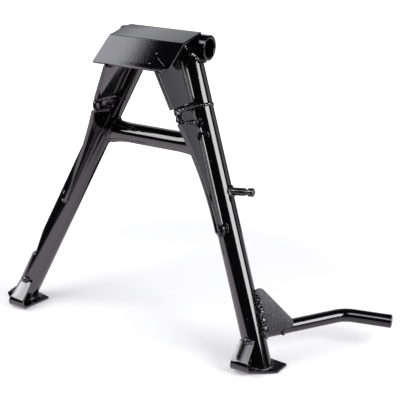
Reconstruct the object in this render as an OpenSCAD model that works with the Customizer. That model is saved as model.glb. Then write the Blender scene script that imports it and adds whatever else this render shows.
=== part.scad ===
// Centre stand of a motorcycle: a welded frame of tubes, plates and rod, in gloss black.
// The origin is the middle of the pivot tube's bore. +X runs along the bore to the lever's side,
// +Y to the rear and +Z up, so the soles of the feet lie in one flat plane below.

/* [Pivot tube] */
// Outer diameter of the pivot tube
pivot_od = 26; // [25.5:0.1:28]
// Bore of the pivot tube
pivot_bore = 19; // [12:0.5:21]
// Length of the pivot tube
pivot_l = 105; // [100:1:130]

/* [Legs] */
// Outer diameter of the leg tubes
leg_od = 25; // [24:0.1:25.4]
// Wall of the leg tubes
leg_wall = 2.5; // [1.5:0.1:3]
// Height of the bore's axis above the ground
stand_h = 302; // [290:1:320]
// Distance of a leg's axis from the middle, level with the bore
leg_top_x = 26; // [24:0.5:30]
// Distance of a leg's axis from the middle, at the ground
leg_foot_x = 152.6; // [145:0.2:160]
// How far in front of the bore a leg's axis meets the ground
leg_foot_y = 73.8; // [65:0.2:80]
// Where the upper and lower lengths of a leg meet, measured down its axis
joint_s = 64.5; // [62:0.5:66]
// Deepest part of the pressed flat in the left leg
dent_depth = 3.6; // [1:0.2:4]

/* [Cover plate] */
// Width of the cover plate
cover_w = 87; // [80:1:92]
// Thickness of the cover plate
cover_t = 3; // [2:0.5:4]
// Fall of its top face towards the front, in degrees
cover_top_fall = 7.3; // [5:0.1:10]
// Fall of its front face, in degrees
cover_front_fall = 34; // [28:0.5:40]
// Distance of its fold in front of the bore's axis
cover_fold_y = 38.5; // [36:0.5:42]
// Length of its front face, from the fold to the lower edge
cover_front_l = 38; // [34:0.5:42]
// Inner radius of its fold
cover_bend_r = 1.5; // [1:0.1:3]

/* [Gussets] */
// Thickness of the gusset plates on the legs
gusset_t = 4; // [3:0.5:5]
// Shift of the left leg's gussets from the leg's middle plane, towards the other leg
left_gusset_in = 3; // [0:0.5:3.5]
// Reach of the upper gusset in front of the leg's axis, at its lower end
upper_reach = 54; // [50:0.5:58]
// Reach of the lower gusset in front of the leg's axis, at its upper end
lower_reach = 47.5; // [44:0.5:50]
// Reach of the lower gusset at its lower end
tip_reach = 23.5; // [20:0.5:26]
// Where the lower gusset ends, measured down the leg's axis
lower_gusset_end = 197; // [180:1:205]
// Height of the small plate between the two gussets
link_h = 11.5; // [9:0.5:13]

/* [Cross brace] */
// Outer diameter of the cross brace
brace_od = 21.3; // [19:0.1:23]
// Wall of the cross brace
brace_wall = 2; // [1.5:0.1:3]
// Distance of the brace's axis below the bore's axis
brace_drop = 96; // [92:1:102]
// Height of the brace's ends, where they meet the legs
brace_end_h = 28.5; // [24:0.5:30]
// Depth of the brace's ends, pressed flat front and back
brace_end_d = 21.8; // [21.4:0.1:23]

/* [Feet] */
// Thickness of the foot plates
foot_t = 3; // [2.5:0.5:4]
// Inner radius of the curl at the front of a foot plate
foot_bend_r = 5; // [4:0.5:7]
// Width of the curl
foot_curl_w = 20; // [16:0.5:22]
// Width of the tongue where it meets the leg
foot_tongue_w = 16; // [12:0.5:18]
// Rise of the tongue above level, in degrees
foot_tongue_rise = 40; // [35:0.5:45]
// How far the right foot's curl is bent up from the ground
right_curl_lift = 2.2; // [0:0.1:3]

/* [Lever and peg] */
// Diameter of the foot lever
lever_d = 14; // [12:0.5:16]
// Height of the lever's axis above the ground
lever_h = 30.5; // [28:0.5:36]
// Turn of the lever's first stretch from the bore's axis towards the rear, in degrees
lever_turn = 52; // [48:0.5:56]
// Turn of the lever's tread towards the rear, in degrees
tread_turn = 11.5; // [0:0.5:20]
// Length from the leg's axis to the lever's corner
lever_arm = 107; // [100:1:112]
// Length from the lever's corner to its end
tread_l = 49; // [40:1:60]
// Radius of the lever's bend
lever_bend_r = 28; // [22:1:34]
// Length of the lever's end that is domed
lever_dome = 2; // [1:0.2:4]
// Thickness of the lever's gusset
lever_gusset_t = 3.5; // [3:0.5:5]
// Reach of the lever's gusset from the leg's axis
lever_gusset_reach = 43; // [38:1:48]
// Rise of the lever's gusset above the lever's axis
lever_gusset_rise = 44; // [40:1:50]
// Diameter of the spring peg
peg_d = 8; // [6:0.5:10]
// Length of the spring peg from the leg's axis
peg_l = 38.5; // [36:0.5:46]
// Distance of the spring peg below the bore's axis
peg_drop = 137; // [130:1:145]

/* [Hidden] */
$fn = 96;
black = "#1b1c1f";
weld_black = "#25262a";
eps = 0.01;
big = 400;

pivot_r = pivot_od / 2;
leg_r = leg_od / 2;
run_x = leg_foot_x - leg_top_x;
splay = atan(run_x / stand_h);
lean = atan(leg_foot_y / norm([run_x, stand_h]));
leg_l = norm([run_x, leg_foot_y, stand_h]);
ground_z = -stand_h;
sole_top_z = ground_z + foot_t;

// A point on the right leg's axis, at height z
function leg_at(z) = [leg_top_x - z * run_x / stand_h, z * leg_foot_y / stand_h, z];
// Height y, z of the side view as reach in front of the leg's axis and length down it
function to_leg(p) = [-p[0] * cos(lean) + p[1] / cos(splay) * sin(lean),
    -p[0] * sin(lean) - p[1] / cos(splay) * cos(lean)];
// Points of an arc about c, from angle a to angle b
function arc(c, r, a, b, n = 24) =
    [for (i = [0:n]) c + r * [cos(a + (b - a) * i / n), sin(a + (b - a) * i / n)]];

// Cover plate, in the side view: the fold's centre lies under the fold
cover_out_r = cover_bend_r + cover_t;
cover_rest = pivot_r + cover_t;
cover_fold_z = (cover_rest - cover_fold_y * sin(cover_top_fall)) / cos(cover_top_fall);
cover_half = (cover_front_fall - cover_top_fall) / 2;
cover_mid = (cover_front_fall + cover_top_fall) / 2;
cover_fold_at = [-cover_fold_y, cover_fold_z];
cover_bend_at = cover_fold_at - cover_out_r / cos(cover_half) * [-sin(cover_mid), cos(cover_mid)];
cover_tangent = cover_out_r * tan(cover_half);
cover_back_y = -2;
cover_top_l = (cover_fold_y + cover_back_y) / cos(cover_top_fall) - cover_tangent;
cover_slope_l = cover_front_l - cover_tangent;
cover_inner_fold = cover_fold_at - cover_t / cos(cover_half) * [-sin(cover_mid), cos(cover_mid)];
cover_inner_end = cover_bend_at + cover_bend_r * [-sin(cover_front_fall), cos(cover_front_fall)]
    - cover_slope_l * [cos(cover_front_fall), sin(cover_front_fall)];
gusset_back_y = -9;
cover_lug = 6;
gusset_back_z = (pivot_r + gusset_back_y * sin(cover_top_fall)) / cos(cover_top_fall);
bend_steps = 6;
cover_front_chamfer = 5;
cover_back_chamfer = [2, 10];

// Gussets and link plate, as reach and length down the leg. Their outlines start inside the tube
sunk = 5;
upper_bottom_front = 66.5;
upper_bottom_back = 57.5;
upper_top_reach = 65.2;
upper_top_s = 28;
link_top_s = 68;
link_reach = 40;
weld_gap = 1.5;
lower_top_s = link_top_s + link_h + weld_gap;
tip_corner = 4;
tip_s = lower_gusset_end - tip_corner - 3;
edge_r = (pow(lower_reach - tip_reach, 2) + pow(tip_s - lower_top_s, 2)) / (2 * (lower_reach - tip_reach));
edge_turn = asin((tip_s - lower_top_s) / edge_r);

// Feet, in plan for the right one
foot_inset = 10.6;
foot_lead = 19;
foot_corners = [[32, 15.3], [34, 32.8], [1, 35.3], [-17, 30.3]];
foot_mid_x = leg_foot_x - foot_inset;
foot_bend_y = -leg_foot_y - foot_lead;
foot_bend_z = ground_z + foot_bend_r + foot_t;
foot_outline = concat([[foot_mid_x - foot_curl_w / 2, foot_bend_y],
    [foot_mid_x + foot_curl_w / 2, foot_bend_y]],
    [for (p = foot_corners) [foot_mid_x + p[0], foot_bend_y + p[1]]]);
tongue_l = 22;
tongue_end_h = 9;
foot_ramp_l = 9;
tongue_top_z = ground_z + 28;
tongue_mid_x = foot_mid_x - 0.8;
tongue_weld_at = [foot_bend_y + 12.8, tongue_top_z + 1.5];
tongue_weld_r = 3.6;

// Cross brace
brace_z = -brace_drop;
brace_y = leg_at(brace_z)[1];
brace_round_x = 29;
brace_end_x = 53;
brace_reach_x = leg_at(brace_z)[0];
brace_steps = 8;
brace_rise = (brace_end_h - brace_od) / 2;
brace_flare_r = (pow(brace_rise, 2) + pow(brace_end_x - brace_round_x, 2)) / (2 * brace_rise);

// Lever: its corner lies where the two straight stretches would meet
lever_z = ground_z + lever_h;
lever_from = leg_at(lever_z);
lever_bend_turn = lever_turn - tread_turn;
lever_tangent = lever_bend_r * tan(lever_bend_turn / 2);
lever_r = lever_d / 2;
// Turn of the lever about the leg's axis, from the outer side towards the rear
lever_about_leg = atan2(cos(lever_turn) * sin(lean) * sin(splay) + sin(lever_turn) * cos(lean),
    cos(lever_turn) * cos(splay));
lever_s = -lever_z * leg_l / stand_h;
lever_dome_r = (pow(lever_r, 2) + pow(lever_dome, 2)) / (2 * lever_dome);
// The lever's gusset: how far it hangs below the lever's axis, and its two rounded corners
lever_gusset_low = 4;
lever_corner_r = 6.5;
lever_top_r = 6;

peg_at = leg_at(-peg_drop);
peg_s = peg_drop * leg_l / stand_h;
brace_s = brace_drop * leg_l / stand_h;
peg_tilt = 7.5;
peg_neck_d = peg_d - 2.4;
peg_head_d = peg_d + 0.8;
peg_neck_from = 29;
peg_head_from = 31.5;
peg_bevel = 1.5;

module left() mirror([1, 0, 0]) children();

// Puts its children in the right leg's own frame: -Z down the leg, -Y to the front, +X outwards
module on_leg() translate([leg_top_x, 0, 0]) rotate([-lean, -splay, 0]) children();

// The plane of a leg's gussets, moved inwards from the leg's middle
module on_plate(in = 0) on_leg() translate([-in, 0, 0]) children();

// A flat plate in a plane of the side view, with points y, z
module side_plate(t) rotate([90, 0, 90]) linear_extrude(t, center = true) children();

// A round bar down the leg's axis, from one length to another
module leg_rod(r, s0, s1) on_leg() translate([0, 0, -s1]) cylinder(h = s1 - s0, r = r);

module leg_envelope() leg_rod(leg_r, 0, leg_l + leg_od);

module pivot_envelope(r = pivot_r) rotate([0, 90, 0]) cylinder(h = pivot_l + 40, r = r, center = true);

// A bead of weld in the leg's plane, between two points given as reach and length down the leg
module bead(p, q, r) {
    run = [p[0] - q[0], p[1] - q[1]];
    translate([0, -p[0], -p[1]]) rotate([atan2(-run[0], run[1]), 0, 0]) cylinder(h = norm(run), r = r);
}

module below_ground() translate([-big, -big, sole_top_z - big]) cube([2 * big, 2 * big, big]);

module pivot_tube() color(black) rotate([0, 90, 0]) difference() {
    cylinder(h = pivot_l, r = pivot_r, center = true);
    cylinder(h = pivot_l + 2, r = pivot_bore / 2, center = true);
}

module cover_profile() {
    a = cover_top_fall;
    b = cover_front_fall;
    along_top = cover_top_l * [cos(a), sin(a)];
    down_front = -cover_slope_l * [cos(b), sin(b)];
    outer = arc(cover_bend_at, cover_out_r, 90 + a, 90 + b, bend_steps);
    inner = arc(cover_bend_at, cover_bend_r, 90 + b, 90 + a, bend_steps);
    polygon(concat([outer[0] + along_top], outer, [outer[bend_steps] + down_front, inner[0] + down_front],
        inner, [inner[bend_steps] + along_top]));
}

// The sheet's plan, seen from above, with the worn back corner and the clipped front one
module cover_plan() {
    x = cover_w / 2;
    back = cover_back_y + 10;
    front = -cover_fold_y - cover_front_l;
    fall_y = -cover_fold_y - cover_slope_l * cos(cover_front_fall);
    polygon([[-x, front], [x - cover_front_chamfer, front], [x - cover_front_chamfer, fall_y - 2],
        [x, fall_y + cover_t], [x, back], [-x + cover_back_chamfer[0], back],
        [-x + cover_back_chamfer[0], cover_back_y], [-x, cover_back_y - cover_back_chamfer[1]]]);
}

module cover_plate() color(black) intersection() {
    side_plate(cover_w) cover_profile();
    linear_extrude(2 * cover_w, center = true) cover_plan();
}

// Everything under the sheet, in the side view, that a gusset can fill
module under_cover(w) side_plate(w) polygon([[gusset_back_y, ground_z], [gusset_back_y, gusset_back_z],
    cover_inner_fold, cover_inner_end, [cover_inner_end[0] - cover_lug, cover_inner_end[1]],
    [cover_inner_end[0] - cover_lug, ground_z]]);

module upper_leg() color(black) difference() {
    leg_rod(leg_r, 0, joint_s);
    leg_rod(leg_r - leg_wall, -1, joint_s + 1);
    pivot_envelope();
}

// The flat is a wedge: shallow above, deepest at its lower end, where it stops with a step
dent_l = 30.5;
dent_to_s = leg_l - 58.2;
dent_from_s = dent_to_s - dent_l;
dent_about_leg = -24.5;

module dent_wedge(sink) rotate([0, 0, dent_about_leg]) translate([leg_r - sink, 0, 0])
    rotate([90, 0, 0]) linear_extrude(2 * leg_od, center = true)
        polygon([[0, -dent_from_s], [-dent_depth, -dent_to_s], [leg_od, -dent_to_s], [leg_od, -dent_from_s]]);

module lower_leg(dented = false, lift = 0) color(black) difference() {
    union() {
        difference() {
            leg_rod(leg_r, joint_s, leg_l + leg_od);
            leg_rod(leg_r - leg_wall, joint_s - 1, leg_l + leg_od + 1);
        }
        if (dented) intersection() {
            leg_rod(leg_r - leg_wall / 2, dent_from_s, dent_to_s + leg_wall);
            on_leg() translate([0, 0, -leg_wall]) dent_wedge(leg_wall);
        }
    }
    if (dented) on_leg() dent_wedge(0);
    below_ground();
    if (lift > 0) foot_plate(lift);
}

module upper_gusset_outline() polygon([[-sunk, 3 * pivot_r], [-upper_top_reach - cover_lug, 0],
    [-upper_top_reach, -upper_top_s], [-upper_reach, -upper_bottom_front], [-sunk, -upper_bottom_back]]);

module upper_gusset(in = 0) color(black) difference() {
    intersection() {
        on_plate(in) side_plate(gusset_t) upper_gusset_outline();
        under_cover(2 * cover_w);
    }
    leg_envelope();
    pivot_envelope();
}

module link_plate(in = 0) color(black) difference() {
    on_plate(in) side_plate(gusset_t)
        polygon([[-sunk, -link_top_s], [-link_reach, -link_top_s], [-link_reach, -link_top_s - link_h],
            [-sunk, -link_top_s - link_h]]);
    leg_envelope();
}

// The front edge is hollow: an arc that ends level with the tube
module lower_gusset_outline() {
    edge = arc([-tip_reach - edge_r, -tip_s], edge_r, edge_turn, 0);
    polygon(concat([[-sunk, -lower_top_s]], edge, [[-tip_reach, -lower_gusset_end + tip_corner],
        [-tip_reach + tip_corner, -lower_gusset_end], [-sunk, -lower_gusset_end]]));
}

module lower_gusset(in = 0) color(black) difference() {
    on_plate(in) side_plate(gusset_t) lower_gusset_outline();
    leg_envelope();
}

// The brace's skin: a tube whose ends flare in height and are pressed flat front and back
function flare(x, grow) = brace_od / 2 + grow + brace_flare_r
    - sqrt(pow(brace_flare_r, 2) - pow(max(0, min(x, brace_end_x) - brace_round_x), 2));

module brace_skin(grow) {
    step = (brace_end_x - brace_round_x) / brace_steps;
    xs = concat([0], [for (i = [0:brace_steps]) brace_round_x + step * i], [brace_reach_x]);
    half = [for (x = xs) [flare(x, grow), x]];
    other = [for (i = [len(xs) - 1:-1:1]) [flare(xs[i], grow), -xs[i]]];
    translate([0, brace_y, brace_z]) intersection() {
        rotate([0, 90, 0]) rotate_extrude()
            polygon(concat([[0, brace_reach_x], [0, -brace_reach_x]], other, half));
        cube([3 * brace_reach_x, brace_end_d + 2 * grow, big], center = true);
    }
}

// Everything past the inner face of a leg's gussets
module beyond_gusset(in = 0) on_plate(in) translate([-gusset_t / 2, -big, -big]) cube(2 * big);

module cross_brace() color(black) difference() {
    brace_skin(0);
    brace_skin(-brace_wall);
    leg_envelope();
    left() leg_envelope();
    beyond_gusset();
    left() beyond_gusset(left_gusset_in);
}

// The side view of the curl and its tongue, lifted off the ground by a short ramp
module foot_profile(lift) {
    a = foot_tongue_rise;
    out_r = foot_bend_r + foot_t;
    ramp = asin(lift / foot_ramp_l);
    translate([foot_bend_y, foot_bend_z + lift]) {
        rotate(a) translate([0, foot_bend_r]) square([tongue_l, foot_t]);
        rotate(-ramp) translate([-eps, -out_r]) square([foot_ramp_l + 1, foot_t]);
        intersection() {
            difference() {
                circle(r = out_r);
                circle(r = foot_bend_r);
            }
            polygon([[0, 0], 2 * out_r * [-sin(ramp), -cos(ramp)], [-2 * out_r, -2 * out_r], [-2 * out_r, 0],
                2 * out_r * [-sin(a), cos(a)]]);
        }
    }
}

// The strip seen from the front: it narrows from the curl to the tongue's end
module tongue_front() {
    wide = foot_curl_w / 2;
    narrow = foot_tongue_w / 2;
    polygon([[foot_mid_x - wide, ground_z], [foot_mid_x + wide, ground_z], [foot_mid_x + wide, foot_bend_z],
        [tongue_mid_x + narrow, tongue_top_z], [tongue_mid_x + narrow, tongue_top_z + tongue_end_h],
        [tongue_mid_x - narrow, tongue_top_z + tongue_end_h], [tongue_mid_x - narrow, tongue_top_z],
        [foot_mid_x - wide, foot_bend_z]]);
}

module foot_plate(lift = 0) color(black) difference() {
    union() {
        translate([0, 0, ground_z]) linear_extrude(foot_t) polygon(foot_outline);
        intersection() {
            translate([foot_mid_x, 0, 0]) side_plate(foot_curl_w) foot_profile(lift);
            rotate([90, 0, 0]) linear_extrude(2 * big, center = true) tongue_front();
        }
    }
    leg_rod(leg_r, 0, leg_l - leg_r);
}

module lever_shape(r) {
    first_l = lever_arm - lever_tangent;
    translate(lever_from) rotate([0, 0, lever_turn]) {
        rotate([0, 90, 0]) cylinder(h = first_l, r = r);
        translate([first_l, -lever_bend_r, 0]) {
            rotate([0, 0, 90 - lever_bend_turn]) rotate_extrude(angle = lever_bend_turn)
                translate([lever_bend_r, 0]) circle(r = r);
            rotate([0, 0, -lever_bend_turn]) translate([0, lever_bend_r, 0]) rotate([0, 90, 0]) {
                cylinder(h = tread_l - lever_tangent, r = r);
                intersection() {
                    cylinder(h = tread_l, r = r);
                    translate([0, 0, tread_l - lever_tangent + lever_dome - lever_dome_r])
                        sphere(r = lever_dome_r);
                }
            }
        }
    }
}

module foot_lever() color(black) difference() {
    lever_shape(lever_r);
    leg_envelope();
}

// Puts its children beside the lever: X out from the leg's axis, Z up the leg, -Y to the near side
module on_lever_plane() on_leg() translate([0, 0, -lever_s]) rotate([0, 0, lever_about_leg]) children();

module lever_gusset() color(black) difference() {
    on_lever_plane() translate([0, -lever_r, 0]) rotate([90, 0, 0]) linear_extrude(lever_gusset_t)
        polygon(concat([[leg_r / 2, -lever_gusset_low]],
            arc([lever_gusset_reach - lever_corner_r, lever_corner_r - lever_gusset_low],
                lever_corner_r, -80, 40, 10),
            arc([leg_r + 1, lever_gusset_rise - lever_top_r], lever_top_r, 40, 150, 10),
            [[leg_r / 2, lever_gusset_rise - 10]]));
    leg_envelope();
    lever_shape(lever_r);
}

module peg_bar(r, l) translate(peg_at) rotate([0, 90 - peg_tilt, 0]) cylinder(h = l, r = r);

module spring_peg() color(black) difference() {
    translate(peg_at) rotate([0, 90 - peg_tilt, 0]) {
        cylinder(h = peg_neck_from, d = peg_d);
        translate([0, 0, peg_neck_from]) cylinder(h = peg_head_from - peg_neck_from, d = peg_neck_d);
        translate([0, 0, peg_head_from]) cylinder(h = peg_bevel, d1 = peg_neck_d, d2 = peg_head_d);
        translate([0, 0, peg_head_from + peg_bevel])
            cylinder(h = peg_l - peg_head_from - 2 * peg_bevel, d = peg_head_d);
        translate([0, 0, peg_l - peg_bevel])
            cylinder(h = peg_bevel, d1 = peg_head_d, d2 = peg_head_d - 2 * peg_bevel);
    }
    leg_envelope();
}

pivot_weld_w = 3;
module pivot_weld(in = 0) color(weld_black) difference() {
    intersection() {
        leg_rod(leg_r + pivot_weld_w, leg_r / 2, 3 * pivot_r);
        pivot_envelope(pivot_r + pivot_weld_w);
    }
    leg_envelope();
    pivot_envelope();
    upper_gusset(in);
}

ring_weld_r = 2.2;
module ring_weld() color(weld_black) difference() {
    on_leg() translate([0, 0, -joint_s]) rotate_extrude()
        translate([leg_r - ring_weld_r / 2, 0]) circle(r = ring_weld_r);
    leg_envelope();
}

cover_weld_w = 2.6;
cover_weld_back_y = 2 * gusset_back_y;
cover_weld_back_z = gusset_back_z - 1.2;
module cover_weld(in = 0) color(weld_black) difference() {
    intersection() {
        on_plate(in) side_plate(gusset_t + 2 * cover_weld_w) upper_gusset_outline();
        side_plate(2 * cover_w) polygon([[cover_weld_back_y, cover_weld_back_z], cover_inner_fold,
            cover_inner_end, cover_inner_end + [cover_weld_w, -cover_weld_w],
            cover_inner_fold + [1, -cover_weld_w], [cover_weld_back_y, cover_weld_back_z - cover_weld_w]]);
        under_cover(2 * cover_w);
    }
    upper_gusset(in);
    leg_envelope();
    pivot_envelope();
}

// Two stitches of weld along the sheet's back edge, on top of the pivot tube
stitch_l = 22;
stitch_x = 24;
stitch_r = 2.2;
module cover_back_weld() color(weld_black) difference() {
    for (x = [-stitch_x, stitch_x])
        translate([x, cover_back_y + 1, pivot_r + 0.6]) rotate([0, 90, 0])
            cylinder(h = stitch_l, r = stitch_r, center = true);
    pivot_envelope();
    side_plate(2 * cover_w) cover_profile();
}

// Fillets where a gusset meets the tube, on both faces, sunk deeper where the gusset is off the middle
fillet_w = 4.5;
fillet_sunk = 2;
fillet_from_s = 19;
lower_fillet_s = lower_top_s + 6;
gusset_end_weld_r = 2.6;
module plate_fillets(s0, s1, in = 0) difference() {
    on_plate(in) translate([0, 0, -s1]) linear_extrude(s1 - s0) for (m = [0, 1])
        mirror([m, 0]) polygon([[gusset_t / 2, -leg_r - fillet_w], [gusset_t / 2, -leg_r + fillet_sunk + in],
            [gusset_t / 2 + fillet_w + 1, -leg_r + fillet_sunk + in]]);
    leg_envelope();
}

module upper_gusset_weld(in = 0) color(weld_black) difference() {
    plate_fillets(fillet_from_s, upper_bottom_back - 1, in);
    pivot_envelope(pivot_r + pivot_weld_w);
}

module lower_gusset_weld(in = 0) color(weld_black) difference() {
    union() {
        plate_fillets(lower_fillet_s, lower_gusset_end - 3, in);
        difference() {
            on_plate(in) bead([leg_r - 1, lower_gusset_end + 0.5], [tip_reach - 3, lower_gusset_end - 1.5],
                gusset_end_weld_r);
            leg_envelope();
            lower_gusset(in);
            plate_fillets(lower_fillet_s, lower_gusset_end - 3, in);
        }
    }
    brace_skin(0);
}

// Beads above and below the link plate, and the heavier lumps at the plates' front corner
link_weld_r = 2.8;
module link_weld(in = 0) color(weld_black) difference() {
    on_plate(in) {
        side_plate(gusset_t) polygon([[-sunk, -upper_bottom_back], [-upper_reach, -upper_bottom_front],
            [-upper_reach + 1, -link_top_s], [-sunk, -link_top_s]]);
        bead([leg_r + weld_gap, link_top_s - 3.6], [upper_reach - 6, link_top_s - 0.8], link_weld_r);
        bead([leg_r + weld_gap, lower_top_s - weld_gap / 2], [lower_reach - 4, lower_top_s - weld_gap / 2],
            link_weld_r - 0.8);
        bead([link_reach + 3, link_top_s], [link_reach + 2, lower_top_s - 1], link_weld_r + 1.2);
        bead([upper_reach - 8, upper_bottom_front - 1], [lower_reach - 4, lower_top_s], link_weld_r + 0.4);
    }
    leg_envelope();
    ring_weld();
    upper_gusset(in);
    link_plate(in);
    lower_gusset(in);
}

// The brace's weld stops short of the gusset's fillet
brace_weld_w = 1.4;
module brace_weld(in = 0) color(weld_black) difference() {
    intersection() {
        brace_skin(brace_weld_w);
        leg_rod(leg_r + brace_weld_w, brace_s - 1.5 * brace_end_h, brace_s + 1.5 * brace_end_h);
    }
    brace_skin(0);
    leg_envelope();
    beyond_gusset(in);
    on_leg() translate([-big, fillet_sunk + in + 1 - leg_r - big, -big]) cube([2 * big, big, 2 * big]);
    translate([-big, -big, -big]) cube([big, 2 * big, 2 * big]);
}

module tongue_weld(lift = 0) color(weld_black) difference() {
    translate([tongue_mid_x, tongue_weld_at[0], tongue_weld_at[1]]) rotate([0, 90, 0])
        cylinder(h = foot_tongue_w - 5, r = tongue_weld_r, center = true);
    leg_envelope();
    foot_plate(lift);
}

foot_weld_w = 2;
module foot_weld(lift = 0) color(weld_black) difference() {
    intersection() {
        leg_rod(leg_r + foot_weld_w, leg_l - 2 * leg_od, leg_l + leg_od);
        translate([-big, -big, sole_top_z]) cube([2 * big, 2 * big, foot_weld_w]);
    }
    leg_envelope();
    if (lift > 0) foot_plate(lift);
}

lever_weld_w = 2.4;
module lever_weld() color(weld_black) difference() {
    intersection() {
        lever_shape(lever_r + lever_weld_w);
        leg_rod(leg_r + lever_weld_w, lever_s - 2 * lever_d, lever_s + 2 * lever_d);
    }
    leg_envelope();
    lever_shape(lever_r);
    on_lever_plane() translate([0, weld_gap - lever_r, 0]) rotate([90, 0, 0]) linear_extrude(lever_d)
        square(4 * lever_d, center = true);
}

// The long run up the leg and the short tack under the lever
run_weld_r = 3;
tack_r = 2.4;
module lever_gusset_weld() color(weld_black) difference() {
    on_lever_plane() {
        translate([leg_r - 1.5 * run_weld_r, -lever_r - lever_gusset_t, -lever_gusset_low - 1])
            cylinder(h = lever_gusset_rise, r = run_weld_r);
        translate([lever_gusset_reach - lever_d, -lever_r - lever_gusset_t + 1, -lever_gusset_low - 2])
            sphere(r = tack_r);
    }
    leg_envelope();
    lever_shape(lever_r);
    lever_gusset();
    lever_weld();
}

peg_weld_w = 2.6;
module peg_weld() color(weld_black) difference() {
    intersection() {
        peg_bar(peg_d / 2 + peg_weld_w, leg_od);
        leg_rod(leg_r + peg_weld_w, peg_s - 2 * leg_od, peg_s + 2 * leg_od);
    }
    leg_envelope();
    peg_bar(peg_d / 2, leg_od);
}

pivot_tube();
cover_plate();
left() upper_leg();  // left_upper_leg
upper_leg();  // right_upper_leg
left() lower_leg(dented = true);  // left_lower_leg
lower_leg(lift = right_curl_lift);  // right_lower_leg
left() upper_gusset(left_gusset_in);  // left_upper_gusset
upper_gusset();  // right_upper_gusset
left() link_plate(left_gusset_in);  // left_link_plate
link_plate();  // right_link_plate
left() lower_gusset(left_gusset_in);  // left_lower_gusset
lower_gusset();  // right_lower_gusset
cross_brace();
left() foot_plate();  // left_foot_plate
foot_plate(right_curl_lift);  // right_foot_plate
foot_lever();
lever_gusset();
spring_peg();
left() pivot_weld(left_gusset_in);  // left_pivot_weld
pivot_weld();  // right_pivot_weld
left() ring_weld();  // left_ring_weld
ring_weld();  // right_ring_weld
left() cover_weld(left_gusset_in);  // left_cover_weld
cover_weld();  // right_cover_weld
cover_back_weld();
left() upper_gusset_weld(left_gusset_in);  // left_upper_gusset_weld
upper_gusset_weld();  // right_upper_gusset_weld
left() link_weld(left_gusset_in);  // left_link_weld
link_weld();  // right_link_weld
left() lower_gusset_weld(left_gusset_in);  // left_lower_gusset_weld
lower_gusset_weld();  // right_lower_gusset_weld
left() brace_weld(left_gusset_in);  // left_brace_weld
brace_weld();  // right_brace_weld
left() tongue_weld();  // left_tongue_weld
tongue_weld(right_curl_lift);  // right_tongue_weld
left() foot_weld();  // left_foot_weld
foot_weld(right_curl_lift);  // right_foot_weld
lever_weld();
lever_gusset_weld();
peg_weld();
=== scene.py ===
import math
import bpy
import numpy as np
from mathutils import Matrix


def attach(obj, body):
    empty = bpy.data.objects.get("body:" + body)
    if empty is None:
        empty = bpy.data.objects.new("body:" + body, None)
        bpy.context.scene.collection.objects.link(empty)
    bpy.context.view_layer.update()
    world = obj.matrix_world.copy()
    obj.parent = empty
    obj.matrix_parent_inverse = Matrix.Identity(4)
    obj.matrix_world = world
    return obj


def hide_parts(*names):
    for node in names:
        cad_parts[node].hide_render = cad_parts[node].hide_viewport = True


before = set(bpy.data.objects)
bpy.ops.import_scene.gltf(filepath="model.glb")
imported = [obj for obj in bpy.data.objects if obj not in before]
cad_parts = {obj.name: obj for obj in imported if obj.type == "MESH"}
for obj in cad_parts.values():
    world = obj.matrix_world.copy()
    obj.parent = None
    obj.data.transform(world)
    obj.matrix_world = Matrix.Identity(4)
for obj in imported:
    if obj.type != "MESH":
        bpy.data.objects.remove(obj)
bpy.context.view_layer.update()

stand = dict(height=302.0, legTopX=26.0, legFootX=152.6, legFootY=73.8, legRadius=12.5, legBore=10.0,
             joint=64.5, tubeRadius=13.0, tubeBore=9.5, tubeHalf=52.5, soleThickness=3.0)
soleTop = -stand["height"] + stand["soleThickness"]

run = stand["legFootX"] - stand["legTopX"]
splay = math.atan2(run, stand["height"])
lean = math.atan2(stand["legFootY"], math.hypot(run, stand["height"]))
legTop = np.array([stand["legTopX"], 0.0, 0.0])
legOut = np.array([math.cos(splay), 0.0, math.sin(splay)])
legFront = -np.array([math.sin(lean) * math.sin(splay), math.cos(lean), -math.sin(lean) * math.cos(splay)])
legDown = -np.array([-math.cos(lean) * math.sin(splay), math.sin(lean), math.cos(lean) * math.cos(splay)])


# A point of the right leg's frame: the leg's top plus each distance times its unit vector
def onLeg(out, front, down):
    out, front, down = np.broadcast_arrays(*[np.asarray(v, float) for v in (out, front, down)])
    return legTop + out[..., None] * legOut + front[..., None] * legFront + down[..., None] * legDown


# A point that goes round the leg's tube: angle 0 is outwards and a quarter turn is to the back
def roundLeg(radius, angle, down):
    return onLeg(radius * np.cos(angle), -radius * np.sin(angle), down)


# The right leg's axis at height z
def legAt(z):
    return legTop + legDown * (z / legDown[2])


# x changes its sign
def mirrored(points):
    return points * np.array([-1.0, 1.0, 1.0])


# A field from about -1 to 1 over points in space: a sum of sines with seeded directions, whose lumps are
# about size across. A seed always gives the same metal.
def waves(points, size, seed, layers=7):
    rng = np.random.default_rng(seed)
    total = np.zeros(points.shape[:-1])
    for _ in range(layers):
        way = rng.normal(size=3)
        way *= 2 * math.pi / (size * rng.uniform(1.3, 2.6)) / np.linalg.norm(way)
        total += np.sin(points @ way + rng.uniform(0, 2 * math.pi))
    return total / math.sqrt(layers) / 1.4


# Surfaces: a grid of points, or several, becomes one closed piece

# Quads between neighbouring rows and columns of a grid, joined end to end where it loops
def gridFaces(rows, cols, loopRows, loopCols):
    i = np.arange(rows if loopRows else rows - 1)[:, None]
    j = np.arange(cols if loopCols else cols - 1)[None, :]
    a = i * cols + j
    b = i * cols + (j + 1) % cols
    c = ((i + 1) % rows) * cols + (j + 1) % cols
    d = ((i + 1) % rows) * cols + j
    return np.stack([a, b, c, d], -1).reshape(-1, 4)


# (points, faces) of a grid that goes round in its columns. Without loopRows, a cap closes each end.
def shell(grid, loopRows=False):
    rows, cols = grid.shape[:2]
    faces = gridFaces(rows, cols, loopRows, True).tolist()
    if not loopRows:
        faces.append(list(range(cols))[::-1])
        faces.append([(rows - 1) * cols + k for k in range(cols)])
    return grid.reshape(-1, 3), faces


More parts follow.
